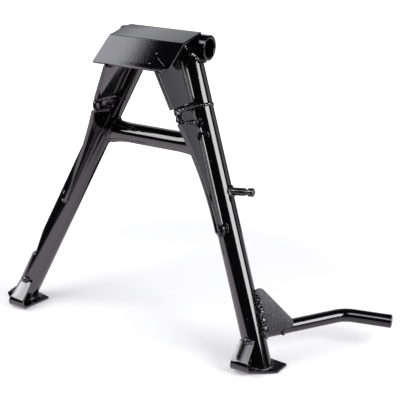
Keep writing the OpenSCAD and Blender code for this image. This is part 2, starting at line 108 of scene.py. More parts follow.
# Signed volume, times six: the sum of the tetrahedra from the first point to each face's fan of triangles
def volumeOf(points, faces):
    bySize = {}
    for f in faces:
        bySize.setdefault(len(f), []).append(f)
    total = 0.0
    for size, group in bySize.items():
        p = points[np.array(group)] - points[0]
        for k in range(1, size - 1):
            total += np.einsum("ij,ij->i", p[:, 0], np.cross(p[:, k], p[:, k + 1])).sum()
    return total


# One object made of closed shells, which stands for a CAD node. side -1 mirrors it to the left, and a shell
# that comes out inside out is turned round.
def piece(name, shells, node, finish, side=1, sharp=32):
    points, faces, start = [], [], 0
    for p, f in shells:
        p = mirrored(p) if side < 0 else p
        if volumeOf(p, f) < 0:
            f = [loop[::-1] for loop in f]
        points.append(p)
        faces += [[v + start for v in loop] for loop in f]
        start += len(p)
    mesh = bpy.data.meshes.new(name)
    mesh.from_pydata((np.vstack(points) * 0.001).tolist(), [], faces)
    mesh.validate()
    mesh.polygons.foreach_set("use_smooth", np.ones(len(mesh.polygons), bool))
    mesh.set_sharp_from_angle(angle=math.radians(sharp))
    mesh.materials.append(finish)
    made = bpy.data.objects.new(name, mesh)
    bpy.context.scene.collection.objects.link(made)
    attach(made, "root")
    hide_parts(node)
    return made


# Points of a circle from one angle to another, in degrees
def arc(centre, radius, start, end, steps):
    a = np.radians(np.linspace(start, end, steps + 1))
    return np.asarray(centre, float) + radius * np.stack([np.cos(a), np.sin(a)], -1)


# Points of a plane turned about its origin, in degrees
def turned(points, angle):
    c, s = math.cos(math.radians(angle)), math.sin(math.radians(angle))
    return points @ np.array([[c, s], [-s, c]])


# Unit tangents of a path, and two unit vectors square to each. The first is carried along the path and
# loses only its part along each tangent, so it doesn't twist.
def frames(path):
    along = np.gradient(path, axis=0)
    along /= np.linalg.norm(along, axis=1)[:, None]
    across = np.cross(along[0], [0.0, 0.0, 1.0])
    if np.linalg.norm(across) < 0.1:
        across = np.cross(along[0], [0.0, 1.0, 0.0])
    sides = []
    for t in along:
        across = across - t * (across @ t)
        across = across / np.linalg.norm(across)
        sides.append(across)
    sides = np.array(sides)
    return along, sides, np.cross(along, sides)


# Unit rings round a path: cosine and sine of each angle times the two vectors square to it
def rings(path, around):
    _, u, v = frames(path)
    a = np.linspace(0, 2 * math.pi, around, endpoint=False)
    return np.cos(a)[None, :, None] * u[:, None] + np.sin(a)[None, :, None] * v[:, None]


# A round bar: each point of the path plus its ring times its radius
def rod(path, radius, around=40):
    return shell(path[:, None] + rings(path, around) * radius[:, None, None])


# A profile of (radius, distance) points, as a closed loop, spun about an axis
def spun(profile, origin, axis, around=64):
    axis = np.asarray(axis, float) / np.linalg.norm(axis)
    u = np.cross(axis, [0.0, 0.3, 1.0])
    u /= np.linalg.norm(u)
    v = np.cross(axis, u)
    a = np.linspace(0, 2 * math.pi, around, endpoint=False)
    ring = np.cos(a)[:, None] * u + np.sin(a)[:, None] * v
    profile = np.asarray(profile, float)
    return np.asarray(origin, float) + profile[:, 0, None, None] * ring + profile[:, 1, None, None] * axis


# Outward normals of a closed outline: the mean of the normals of the chords on both sides of each point,
# longer at a corner so that the rim keeps its width
def normalsOf(outline):
    ahead = np.roll(outline, -1, 0) - outline
    back = outline - np.roll(outline, 1, 0)
    square = lambda d: np.stack([d[:, 1], -d[:, 0]], -1) / np.linalg.norm(d, axis=1)[:, None]
    both = square(ahead) + square(back)
    both /= np.maximum(np.linalg.norm(both, axis=1), 1e-6)[:, None]
    lift = np.clip((both * square(ahead)).sum(1), 0.4, 1.0)
    x, y = outline[:, 0], outline[:, 1]
    area = (x * np.roll(y, -1) - np.roll(x, -1) * y).sum()
    return both / lift[:, None] * (1 if area > 0 else -1)


# A flat plate with rounded rims: the outline shrinks by a quarter circle towards both faces. place turns
# (across, up, height over the middle plane) into points.
def plate(outline, thickness, edge, place):
    normals = normalsOf(outline)
    a = np.radians(np.linspace(0, 90, 5))
    inset = edge * (1 - np.cos(a))
    height = thickness / 2 - edge * (1 - np.sin(a))
    inset = np.concatenate([inset[::-1], inset])
    height = np.concatenate([height[::-1], -height])
    loops = outline[None] - normals[None] * inset[:, None, None]
    return shell(place(loops[..., 0], loops[..., 1], np.broadcast_to(height[:, None], loops.shape[:2])))


# A bent strip: at each point of its centre line in the side view, a section with rounded corners runs
# across from x = low to x = high, and three more sections at each end shrink by the same rounding
def strip(centre, normal, low, high, thickness, edge):
    a = np.radians(np.linspace(0, 90, 4))
    turns = np.radians([0, 30, 60])
    step = np.gradient(centre, axis=0)
    step /= np.linalg.norm(step, axis=1)[:, None]
    count, lead, less = len(centre), edge * (1 - np.cos(turns)), edge * (1 - np.sin(turns))
    pick = np.concatenate([np.zeros(3, int), np.arange(count), np.full(3, count - 1)])
    along = np.concatenate([lead, [edge], np.zeros(count - 2), [-edge], -lead[::-1]])
    shrink = np.concatenate([less, np.zeros(count), less[::-1]])
    at = centre[pick] + step[pick] * along[:, None]
    x0 = (low[pick] + shrink)[:, None]
    x1 = np.maximum((high[pick] - shrink)[:, None], x0 + 0.2)
    half = (thickness / 2 - shrink)[:, None]
    corner = np.maximum(edge - shrink, 0.05)[:, None]
    c, s = corner * np.cos(a), corner * np.sin(a)
    x = np.concatenate([x1 - corner + c, x0 + corner - s, x0 + corner - c, x1 - corner + s], 1)
    h = np.concatenate([half - corner + s, half - corner + c, -half + corner - s, -half + corner - c], 1)
    yz = at[:, None] + h[..., None] * normal[pick][:, None]
    return shell(np.concatenate([x[..., None], yz], -1))


# A run of weld: a ring along a path, pinched towards its ends, times one ripple for each step of the arc,
# with two sizes of lumps over the whole
def bead(path, radius, seed, ripple=0.12, pitch=2.0, lump=0.18, ends=3.0, around=18, loop=False):
    path = np.asarray(path, float)
    along = np.concatenate([[0], np.cumsum(np.linalg.norm(np.diff(path, axis=0), axis=1))])
    count = max(12, int(along[-1] / 0.45))
    at = np.linspace(0, along[-1], count)
    path = np.stack([np.interp(at, along, path[:, k]) for k in range(3)], -1)
    wave = 1 + ripple * (np.sqrt(np.clip(1 - (2 * (at / pitch % 1.0) - 1) ** 2, 0, 1)) - 0.6)
    taper = np.ones(count)
    if not loop:
        pinch = (1 - np.minimum(at, at[-1] - at) / ends).clip(0, 1)
        taper = np.sqrt(np.clip(1 - pinch ** 2, 0.02, 1))
    ring = rings(path, around)
    grid = path[:, None] + ring * (radius * wave * taper)[:, None, None]
    lumps = waves(grid, 3.2, seed) * lump + waves(grid, 1.4, seed + 9) * lump * 0.4
    return shell(grid + ring * lumps[..., None] * radius * taper[:, None, None])


# A lump of weld: an ellipsoid whose radius swells and dips with the waves
def blob(centre, sizes, seed, rough=0.22, around=28):
    a = np.linspace(0, 2 * math.pi, around, endpoint=False)
    b = np.linspace(-math.pi / 2, math.pi / 2, around // 2 + 1)[1:-1]
    b = b[:, None]
    ball = np.stack([np.cos(b) * np.cos(a), np.cos(b) * np.sin(a), np.sin(b) + 0 * a], -1)
    place = ball * np.asarray(sizes, float)
    swell = 1 + rough * waves(place, 3.0, seed) + rough * 0.5 * waves(place, 1.3, seed + 5)
    return shell(np.asarray(centre, float) + place * swell[..., None])


# Finish

# A value in a node tree. Arithmetic on wires adds Math nodes.
class Wire:
    def __init__(self, tree, socket):
        self.tree, self.socket = tree, socket

    def math(self, kind, *others, clamp=False):
        inputs = dict(enumerate((self, *others)))
        return addNode(self.tree, "ShaderNodeMath", inputs, operation=kind, use_clamp=clamp)

    def __add__(self, o): return self.math("ADD", o)
    def __sub__(self, o): return self.math("SUBTRACT", o)
    def __rsub__(self, o): return self.math("MULTIPLY_ADD", -1.0, o)
    def __mul__(self, o): return self.math("MULTIPLY", o)
    def __truediv__(self, o): return self.math("DIVIDE", o)
    __radd__, __rmul__ = __add__, __mul__

    # 0 below edge and 1 past edge + soft
    def above(self, edge, soft):
        return (self - edge).math("DIVIDE", soft, clamp=True)

    # 1 below edge - soft and 0 past edge
    def below(self, edge, soft):
        return (edge - self).math("DIVIDE", soft, clamp=True)


# Any node: its settings, its inputs by name or index, and one output as a wire
def addNode(tree, kind, inputs=None, out=0, **settings):
    n = tree.nodes.new(kind)
    for key, value in settings.items():
        setattr(n, key, value)
    for key, value in (inputs or {}).items():
        if isinstance(value, Wire):
            tree.links.new(value.socket, n.inputs[key])
        else:
            n.inputs[key].default_value = value
    return Wire(tree, n.outputs[out]) if len(n.outputs) else None


# A Vector Math node. b may be left out.
def vector(tree, kind, a, b=None, out=0, **more):
    inputs = {k: tuple(v) if isinstance(v, np.ndarray) else v for k, v in enumerate((a, b)) if v is not None}
    return addNode(tree, "ShaderNodeVectorMath", {**inputs, **more}, out, operation=kind)


# What lies within wide of the line from first to last: the distance to the nearest point of that line
def scratchMark(tree, spot, first, last, wide):
    step = np.subtract(last, first)
    gap = vector(tree, "SUBTRACT", spot, first)
    part = vector(tree, "DOT_PRODUCT", gap, step / (step @ step), out="Value").math("MULTIPLY", 1.0, clamp=True)
    along = vector(tree, "SCALE", step, Scale=part)
    away = vector(tree, "LENGTH", vector(tree, "SUBTRACT", gap, along), out="Value")
    return away.below(wide, wide * 0.4)


paintLook = dict(colour=(0.0016, 0.0015, 0.0018), dust=(0.42, 0.42, 0.44), roughness=0.085, peel=0.030, ior=1.85)
textures = dict(broad=0.035, fine=2.4, cells=0.16, speck=0.085, share=0.35, streak=1.1, stretch=(1.0, 0.07, 0.5))


# Gloss black powder coat: the colour goes to dust by specks, streaks and marks, and to grey on the orange peel's
# crests as a painted sheen, and the height is the orange peel plus the specks. With face, the rims round a flat
# side keep the gloss of the plain paint.
def paint(name, peel=1.0, peelSize=1.3, dust=0.5, scratch=0.0, paintedPeelSheen=0.0, face=None, marks=(), **changes):
    look = {**paintLook, **changes}
    made = bpy.data.materials.new(name)
    made.use_nodes = True
    tree = made.node_tree
    tree.nodes.clear()

    def noise(spot, **values):
        return addNode(tree, "ShaderNodeTexNoise", {"Vector": spot, **values})

    def cell(what):
        inputs = {"Vector": spot, "Scale": textures["cells"], "Randomness": 1.0}
        return addNode(tree, "ShaderNodeTexVoronoi", inputs, what)

    spot = vector(tree, "MULTIPLY", addNode(tree, "ShaderNodeTexCoord", out="Object"), (1000.0, 1000.0, 1000.0))
    soft = noise(spot, Scale=1 / peelSize, Detail=1.5, Roughness=0.5)
    broad = noise(spot, Scale=textures["broad"], Detail=2.0)
    fine = noise(spot, Scale=textures["fine"], Detail=2.0, Roughness=0.7)
    stretched = vector(tree, "MULTIPLY", spot, textures["stretch"])
    streak = noise(stretched, Scale=textures["streak"], Detail=3.0, Roughness=0.8)
    chance = addNode(tree, "ShaderNodeSeparateColor", {"Color": cell("Color")})
    speck = cell("Distance").below(textures["speck"], 0.03) * chance.above(1.0 - textures["share"] * dust, 0.02)
    mark = streak.above(0.70, 0.05) * scratch
    for line in marks:
        mark = mark + scratchMark(tree, spot, *line) * 2.0
    # the grey on the orange peel's crests is painted sheen
    worn = (speck * 0.6 + mark * 0.5 + soft.above(0.46, 0.25) * paintedPeelSheen).math("MULTIPLY", 1.0, clamp=True)
    ends = {0: worn, 6: (*look["colour"], 1.0), 7: (*look["dust"], 1.0)}
    colour = addNode(tree, "ShaderNodeMix", ends, out=2, data_type="RGBA")
    rough = broad * 0.04 + fine * 0.02 + speck * 0.3 + mark * 0.2 + (look["roughness"] - 0.03)
    if face is not None:
        normal = addNode(tree, "ShaderNodeNewGeometry", out="Normal")
        onRim = vector(tree, "DOT_PRODUCT", normal, face, out="Value").math("ABSOLUTE").below(0.97, 0.04)
        rough = rough + onRim * (paintLook["roughness"] - look["roughness"])
    height = soft * peel + fine * 0.12 * peel + speck * 1.4
    bump = addNode(tree, "ShaderNodeBump", {"Strength": 1.0, "Distance": look["peel"] * 0.001, "Height": height})
    shade = addNode(tree, "ShaderNodeBsdfPrincipled",
                    {"Base Color": colour, "Roughness": rough, "Normal": bump, "IOR": look["ior"]})
    addNode(tree, "ShaderNodeOutputMaterial", {0: shade})
    return made


glossTube = paint("paintOnTube", peel=0.5, peelSize=3.0, dust=0.25)
glossPlate = paint("paintOnPlate", peel=0.9, peelSize=1.5, dust=0.4)
glossWeld = paint("paintOnWeld", peel=1.6, peelSize=0.9, dust=0.3)
print("paint ready")

# Pivot tube: hollow, with both rims rounded
tube = dict(rim=0.7, steps=4, around=96)
rim, half, outer, inner = tube["rim"], stand["tubeHalf"], stand["tubeRadius"], stand["tubeBore"]
corners = ((outer - rim, half - rim, 0), (inner + rim, half - rim, 90),
           (inner + rim, -half + rim, 180), (outer - rim, -half + rim, 270))
profile = np.vstack([arc((r, x), rim, start, start + 90, tube["steps"]) for r, x, start in corners])
wall = shell(spun(profile, (0, 0, 0), (1, 0, 0), tube["around"]), loopRows=True)
piece("pivotTube", [wall], "pivot_tube", glossTube)


# How far down the leg each line round it meets the pivot tube's skin, a little inside it: the larger root
# of the quadratic of a line and a cylinder
def onTube(a, radius, inside=0.8):
    base = roundLeg(radius, a, 0 * a)
    y, z = base[..., 1], base[..., 2]
    qa = legDown[1] ** 2 + legDown[2] ** 2
    qb = 2 * (y * legDown[1] + z * legDown[2])
    qc = y ** 2 + z ** 2 - (stand["tubeRadius"] - inside) ** 2
    return (-qb + np.sqrt(np.maximum(qb ** 2 - 4 * qa * qc, 0))) / (2 * qa)


# How far down the leg each line round it meets the foot plate
def onPlate(a, radius):
    return (soleTop - roundLeg(radius, a, 0 * a)[..., 2]) / legDown[2]


# The joint is square to the leg
def atJoint(a, radius):
    return np.full(a.shape, stand["joint"])


# The left leg is pressed flat towards its foot: start and end down the leg, depth at the end, step back to
# the round, and the angle that it faces
leftDent = dict(start=247.0, end=277.5, depth=3.7, step=0.4, about=-24.5, rows=26)


# A hollow tube down a leg, between the lines' ends that startOf and endOf give. In a dent, the radius is
# cut to a plane: the plane's distance over the cosine of the angle to it.
def legTube(name, node, side, startOf, endOf, dent=None, rows=80, around=88):
    a = np.linspace(0, 2 * math.pi, around, endpoint=False)
    grids = []
    for radius, flip in ((stand["legRadius"], False), (stand["legBore"], True)):
        s0, s1 = startOf(a, radius), endOf(a, radius)
        t = np.linspace(0, 1, rows)
        if dent:  # more rows down the dent and over its step
            extra = [np.linspace(dent["start"], dent["end"], dent["rows"]),
                     dent["end"] + np.array([0.1, 0.25, 0.4, 0.8])]
            down = np.sort(np.concatenate([np.linspace(s0.mean(), s1.mean(), rows), *extra]))
            t = (down - down[0]) / (down[-1] - down[0])
        s = s0 + (s1 - s0) * t[:, None]
        r = np.full(s.shape, radius)
        if dent:
            depth = dent["depth"] * np.clip((s - dent["start"]) / (dent["end"] - dent["start"]), 0, 1)
            depth = depth * np.clip(1 - (s - dent["end"]) / dent["step"], 0, 1)
            towards = np.maximum(np.cos(a - math.radians(dent["about"])), 0.05)
            r = np.minimum(r, (stand["legRadius"] - depth) / towards - (stand["legRadius"] - radius))
        grid = roundLeg(r, a, s)
        grids.append(grid[::-1] if flip else grid)
    return piece(name, [shell(np.concatenate(grids), loopRows=True)], node, glossTube, side)


for side, word in ((-1, "left"), (1, "right")):
    legTube(word + "UpperLeg", word + "_upper_leg", side, onTube, atJoint)
    legTube(word + "LowerLeg", word + "_lower_leg", side, atJoint, onPlate, leftDent if side < 0 else None)
print("legs ready")

# Cover plate: one sheet, folded once. Its left back corner is worn, and its front right corner cut off.
cover = dict(half=43.5, thickness=3.0, topFall=7.3, frontFall=34.0, foldY=38.5, frontLength=38.0, bend=1.5,
             backY=-2.0, chamfer=5.0, chamferLength=4.5, worn=2.0, wornLength=10.0, edge=0.55, rows=(14, 8, 16))
coverMarks = [((21.7, -52.7, 1.6), (21.9, -52.7, 1.6), 0.75), ((20.6, -64.1, -6.1), (20.8, -64.1, -6.1), 0.7),
              ((26.0, -57.2, -1.4), (38.0, -64.8, -6.5), 0.13)]
glossCover = paint("paintOnCover", peel=2.4, peelSize=1.1, dust=1.0, scratch=0.5, marks=coverMarks)


# The way down a slope of the side view and the way up from it, by its fall in radians
def slope(fall):
    return np.array([math.cos(fall), math.sin(fall)]), np.array([-math.sin(fall), math.cos(fall)])


topFall, frontFall = math.radians(cover["topFall"]), math.radians(cover["frontFall"])
midFall, halfFall = (topFall + frontFall) / 2, (frontFall - topFall) / 2
(alongTop, upTop), (alongFront, upFront), (_, upMid) = slope(topFall), slope(frontFall), slope(midFall)
rest = stand["tubeRadius"] + cover["thickness"]
fold = np.array([-cover["foldY"], (rest - cover["foldY"] * math.sin(topFall)) / math.cos(topFall)])
outBend = cover["bend"] + cover["thickness"]
bendAt = fold - outBend / math.cos(halfFall) * upMid
tangent = outBend * math.tan(halfFall)
midBend = outBend - cover["thickness"] / 2
topLength = (cover["foldY"] + cover["backY"]) / math.cos(topFall) - tangent
frontLength = cover["frontLength"] - tangent
topRows, bendRows, frontRows = cover["rows"]
backs = np.linspace(topLength, 0, topRows)[:, None] * alongTop + bendAt + midBend * upTop
bends = arc(bendAt, midBend, 90 + cover["topFall"], 90 + cover["frontFall"], bendRows)[1:-1]
fronts = bendAt + midBend * upFront - np.linspace(0, frontLength, frontRows)[:, None] * alongFront
falls = np.radians(np.concatenate([np.full(topRows, cover["topFall"]),
                                   np.linspace(cover["topFall"], cover["frontFall"], bendRows + 1)[1:-1],
                                   np.full(frontRows, cover["frontFall"])]))
line = np.vstack([backs, bends, fronts])
distance = np.concatenate([[0], np.cumsum(np.linalg.norm(np.diff(line, axis=0), axis=1))])
toCorner = distance - distance[-1] + cover["chamferLength"]
left = -cover["half"] + cover["worn"] * np.clip(1 - distance / cover["wornLength"], 0, 1)
right = cover["half"] - cover["chamfer"] * np.clip(toCorner / cover["chamferLength"], 0, 1)
sheet = strip(line, np.stack([-np.sin(falls), np.cos(falls)], -1), left, right, cover["thickness"], cover["edge"])
piece("coverPlate", [sheet], "cover_plate", glossCover)

# Gussets and link plates: flat, along each leg's middle plane, given as reach in front and length down
gusset = dict(thickness=4.0, edge=0.6, upperTop=28.0, upperTopReach=65.2, upperReach=54.0, upperFront=66.5,
              upperBack=58.9, upperStart=12.0, tubeCorner=(-12.5, 11.4), linkTop=68.0, linkHeight=11.5,
              linkReach=40.0, gap=1.5, lowerReach=47.5, tipReach=23.5, tipLength=7.0, tipCut=4.0, lowerEnd=197.0,
              sunk=1.0, leftIn=3.0)
linkEnd = gusset["linkTop"] + gusset["linkHeight"]
lowerTop, lowerEnd = linkEnd + gusset["gap"], gusset["lowerEnd"]
hollowLength, hollowDepth = lowerEnd - gusset["tipLength"] - lowerTop, gusset["lowerReach"] - gusset["tipReach"]
hollow = (hollowDepth ** 2 + hollowLength ** 2) / (2 * hollowDepth)
hollowTurn = math.degrees(math.asin(hollowLength / hollow))
buried = stand["legRadius"] - gusset["sunk"]


# How far a leg's gussets stand off the leg's middle plane: the left ones are moved inwards
def offMiddle(side):
    return -gusset["leftIn"] if side < 0 else 0.0


# The outline with long sides divided, so that its rims shade evenly
def divided(points, step=2.5):
    points = np.asarray(points, float)
    out = []
    for a, b in zip(points, np.roll(points, -1, 0)):
        n = max(1, int(np.linalg.norm(b - a) / step))
        out.append(a + (b - a) * (np.arange(n) / n)[:, None])
    return np.vstack(out)


# A point of the side view as reach in front of the leg's axis and length down it
def sideToLeg(y, z):
    return np.array([-y * math.cos(lean) + z / math.cos(splay) * math.sin(lean),
                     -y * math.sin(lean) - z / math.cos(splay) * math.cos(lean)])


innerEnd = bendAt + cover["bend"] * upFront - frontLength * alongFront
innerFold = bendAt + cover["bend"] / math.cos(halfFall) * upMid
upperOutline = [sideToLeg(*innerEnd), (gusset["upperTopReach"], gusset["upperTop"]),
                (gusset["upperReach"], gusset["upperFront"]), (buried, gusset["upperBack"]),
                (buried, gusset["upperStart"]), (buried + 3, 0.0), sideToLeg(*gusset["tubeCorner"]),
                sideToLeg(*innerFold)]
linkOutline = [(buried, gusset["linkTop"]), (gusset["linkReach"], gusset["linkTop"]),
               (gusset["linkReach"], linkEnd), (buried, linkEnd)]
frontEdge = -arc((-gusset["tipReach"] - hollow, -lowerEnd + gusset["tipLength"]), hollow, hollowTurn, 0, 40)
lowerOutline = np.vstack([[(buried, lowerTop)], frontEdge, [(gusset["tipReach"], lowerEnd - gusset["tipCut"]),
                          (gusset["tipReach"] - gusset["tipCut"], lowerEnd), (buried, lowerEnd)]])
plates = (("UpperGusset", "_upper_gusset", upperOutline), ("LinkPlate", "_link_plate", linkOutline),
          ("LowerGusset", "_lower_gusset", lowerOutline))
for side, word in ((-1, "left"), (1, "right")):
    legPlate = lambda front, down, height: onLeg(height + offMiddle(side), front, down)
    for part, node, outline in plates:
        flat = plate(divided(outline), gusset["thickness"], gusset["edge"], legPlate)
        piece(word + part, [flat], word + node, glossPlate, side)
print("plates ready")

# Cross brace: a round tube that is pressed taller along an arc, and a little thinner, towards the legs
brace = dict(drop=96.0, radius=10.65, endHeight=14.25, endDepth=10.6, roundTo=29.0, flaredAt=53.0, reach=60.0,
             around=72)
rise, flare = brace["endHeight"] - brace["radius"], brace["flaredAt"] - brace["roundTo"]
flareArc = (rise ** 2 + flare ** 2) / (2 * rise)
x = np.concatenate([-np.linspace(brace["reach"], brace["roundTo"], 22),
                    np.linspace(-brace["roundTo"], brace["roundTo"], 12)[1:-1],
                    np.linspace(brace["roundTo"], brace["reach"], 22)])
past = np.clip(np.abs(x), brace["roundTo"], brace["flaredAt"]) - brace["roundTo"]
tall = brace["radius"] + flareArc - np.sqrt(flareArc ** 2 - past ** 2)
deep = brace["radius"] + (brace["endDepth"] - brace["radius"]) * (past / flare) ** 2
a = np.linspace(0, 2 * math.pi, brace["around"], endpoint=False)
braceAt = legAt(-brace["drop"])
grid = np.stack([np.broadcast_to(x[:, None], (len(x), len(a))), braceAt[1] + deep[:, None] * np.cos(a),
                 braceAt[2] + tall[:, None] * np.sin(a)], -1)
piece("crossBrace", [shell(grid)], "cross_brace", glossTube)

# Foot plates: a base, a curl and a tongue, bent from one strip. The edges are given as y and x pairs.
foot = dict(bend=5.0, bendY=-92.8, rise=40.0, tongue=22.0, ramp=9.0, rightLift=2.2, edge=0.5,
            tipRows=(-57.5, -58.4, -60.0, -62.5), baseFrom=-66.0, baseTo=-91.0, inX=132.0, outX=152.0,
            inEdge=((-92.8, -62.5, -57.5), (132.0, 125.0, 143.0)), narrowIn=1.2, narrowOut=2.8,
            outEdge=((-92.8, -77.5, -60.0, -57.5), (152.0, 174.0, 176.0, 143.6)), curlRows=22, narrowFrom=14)


# The side view's line is straight, then an arc, then straight again. lift raises the curl over the ground.
def footPlate(name, node, side, lift):
    t, ground = stand["soleThickness"], -stand["height"]
    rampTurn = math.degrees(math.asin(lift / foot["ramp"]))
    centre = np.array([foot["bendY"], ground + foot["bend"] + t + lift])
    curl = arc(centre, foot["bend"] + t / 2, 270 - rampTurn, 90 + foot["rise"], foot["curlRows"])
    curlNormal = (centre - curl) / (foot["bend"] + t / 2)
    baseEnd = curl[0][0] + foot["ramp"] if lift else foot["baseTo"]
    baseY = np.concatenate([foot["tipRows"], np.linspace(foot["baseFrom"], baseEnd, 8)])
    base = np.stack([baseY, np.full(len(baseY), ground + t / 2)], -1)
    away, _ = slope(math.radians(foot["rise"]))
    tongue = curl[-1] + away * np.linspace(0, foot["tongue"], 9)[1:, None]
    line = np.vstack([base, curl, tongue])
    normal = np.vstack([np.tile([0.0, 1.0], (len(base), 1)), curlNormal,
                        np.tile([away[1], -away[0]], (len(tongue), 1))])
    row = np.arange(len(line))
    onBase = row < len(base)
    narrow = np.clip((row - len(base) - foot["narrowFrom"]) / (8 + len(tongue)), 0, 1)
    low = np.where(onBase, np.interp(line[:, 0], *foot["inEdge"]), foot["inX"]) + narrow * foot["narrowIn"]
    high = np.where(onBase, np.interp(line[:, 0], *foot["outEdge"]), foot["outX"]) - narrow * foot["narrowOut"]
    return piece(name, [strip(line, normal, low, high, t, foot["edge"])], node, glossPlate, side)


footPlate("leftFootPlate", "left_foot_plate", -1, 0.0)
footPlate("rightFootPlate", "right_foot_plate", 1, foot["rightLift"])

# Foot lever: a solid rod with one bend and a slightly domed end
lever = dict(height=30.5, radius=7.0, turn=52.0, tread=11.5, arm=107.0, treadLength=49.0, bend=28.0, dome=1.55,
             root=10.2, domePower=0.6, around=56)
start = legAt(-stand["height"] + lever["height"])
bendTurn = lever["turn"] - lever["tread"]
reach = lever["bend"] * math.tan(math.radians(bendTurn / 2))
first = np.stack([np.linspace(lever["root"], lever["arm"] - reach, 8), np.zeros(8)], -1)
curve = arc((lever["arm"] - reach, -lever["bend"]), lever["bend"], 90, 90 - bendTurn, 16)[1:]
treadWay = turned(np.array([[1.0, 0.0]]), -bendTurn)[0]
tread = curve[-1] + treadWay * np.linspace(0, lever["treadLength"] - reach, 7)[1:, None]
route = turned(np.vstack([first, curve, tread]), lever["turn"])
leverPath = np.column_stack([start[0] + route[:, 0], start[1] + route[:, 1], np.full(len(route), start[2])])
dome = np.radians(np.linspace(0, 82, 7)[1:])
tip = (leverPath[-1] - leverPath[-2]) / np.linalg.norm(leverPath[-1] - leverPath[-2])
leverRadius = lever["radius"] * np.concatenate([np.ones(len(leverPath)), np.cos(dome) ** lever["domePower"]])
leverPath = np.vstack([leverPath, leverPath[-1] + tip * (lever["dome"] * np.sin(dome))[:, None]])
piece("footLever", [rod(leverPath, leverRadius, lever["around"])], "foot_lever", glossTube)

# The lever's gusset stands on the rod's near side, with its long edge up the leg
web = dict(thickness=3.5, about=55.3, edge=0.6, in0=6.0, foot=-4.5, top=34.0, tip=(36.5, 2.5), tipRadius=6.5,
           crown=(13.5, 38), crownRadius=6)
turnOut = math.radians(web["about"])
leverOut = legOut * math.cos(turnOut) - legFront * math.sin(turnOut)
leverNear = legOut * math.sin(turnOut) + legFront * math.cos(turnOut)
# The lever gusset's paint is rougher, and its lighter bluish colour and greyer peel crests are painted sheen
roughPaintWithPaintedSheen = paint("paintOnLeverGusset", peel=8.0, peelSize=1.1, dust=0.5, paintedPeelSheen=0.15, face=leverNear,
                   roughness=0.34, ior=1.45, colour=(0.009, 0.009, 0.014))


# A point beside the lever: the lever's root plus each distance times its unit vector
def besideLever(out, up, near):
    out, up, near = np.broadcast_arrays(*[np.asarray(v, float) for v in (out, up, near)])
    return start + out[..., None] * leverOut - up[..., None] * legDown + near[..., None] * leverNear


webOutline = np.vstack([[(web["in0"], web["foot"])], arc(web["tip"], web["tipRadius"], -80, 40, 10),
                        arc(web["crown"], web["crownRadius"], 40, 150, 10), [(web["in0"], web["top"])]])
webPlate = lambda u, v, h: besideLever(u, v, lever["radius"] + web["thickness"] / 2 - h)
flat = plate(divided(webOutline, 2.0), web["thickness"], web["edge"], webPlate)
piece("leverGusset", [flat], "lever_gusset", roughPaintWithPaintedSheen)

# Spring peg: a turned pin with a neck and a rounded head
peg = dict(drop=137.0, radius=4.0, neck=2.8, head=4.4, neckFrom=29.0, headFrom=31.5, length=38.5, bevel=1.5,
           root=10.5, tilt=7.5, rim=0.5)
pegAt = legAt(-peg["drop"])
pegWay = np.array([math.cos(math.radians(peg["tilt"])), 0.0, math.sin(math.radians(peg["tilt"]))])
pegProfile = np.vstack([[(0.01, peg["root"]), (peg["radius"], peg["root"])],
                        arc((peg["radius"] - peg["rim"], peg["neckFrom"] - peg["rim"]), peg["rim"], 0, 90, 3),
                        [(peg["neck"], peg["neckFrom"] + 0.2), (peg["neck"], peg["headFrom"]),
                         (peg["head"] - 0.3, peg["headFrom"] + 1.3)],
                        arc((peg["head"] - peg["rim"], peg["headFrom"] + 2.0), peg["rim"], -45, 0, 3),
                        arc((peg["head"] - peg["bevel"], peg["length"] - peg["bevel"]), peg["bevel"], 0, 90, 6),
                        [(0.01, peg["length"])]])
piece("springPeg", [shell(spun(pegProfile, pegAt, pegWay, 48))], "spring_peg", glossTube)
print("lever and peg ready")

# Welds. Sizes are radii, and each lump has (out, front, down) and the radii of its ellipsoid.
pivotRun = dict(radius=1.9, ripple=0.3, pitch=2.6, lump=0.5, off=0.6, down=1.6)
ringRun = dict(left=1.4, right=2.0, leftRipple=0.0, rightRipple=0.12, pitch=2.4, sunk=1.2)
coverRun = dict(radius=2.2, ripple=0.2, apart=2.8)
filletRun = dict(upper=2.6, lower=2.8, start=20.0, ends=5.0, uneven=0.06)
braceRun = dict(radius=1.3, reach=52.2, deep=10.4, tall=14.0, ripple=0.05, lump=0.1)
footRun = dict(radius=1.8, off=0.3, up=0.4, left=(0.05, 0.08), right=(0.25, 0.25))
tongueAt = np.array([141.2, -81.0, -273.0])


# Runs along a gusset's corner with the tube, on one face (1 or -1): an arc that touches both, closed inside
# them, that narrows over its last few millimetres
def fillet(s0, s1, face, size, off, seed):
    s = np.linspace(s0, s1, 60)
    size = size * np.sqrt(np.clip(np.minimum(s - s0, s1 - s) / filletRun["ends"], 0.03, 1))
    size = size * (1 + filletRun["uneven"] * waves(np.stack([s, 0 * s, 0 * s], -1), 9.0, seed))
    at, radius = off * face + gusset["thickness"] / 2, stand["legRadius"]
    centreOut = at + size
    centreAhead = np.sqrt((radius + size) ** 2 - centreOut ** 2)
    turn = math.pi + np.arctan2(centreAhead, centreOut)[:, None] * np.linspace(0, 1, 9)
    across = centreOut[:, None] + size[:, None] * np.cos(turn)
    ahead = centreAhead[:, None] + size[:, None] * np.sin(turn)
    deep = np.full((len(s), 1), at - 0.6)
    across = np.concatenate([deep, across, across[:, -1:] * 0.9, deep], 1)
    ahead = np.concatenate([ahead[:, :1], ahead, ahead[:, -1:] * 0.9, np.full((len(s), 1), radius - 2.5)], 1)
    return shell(onLeg(face * across, ahead, s[:, None] + 0 * across))


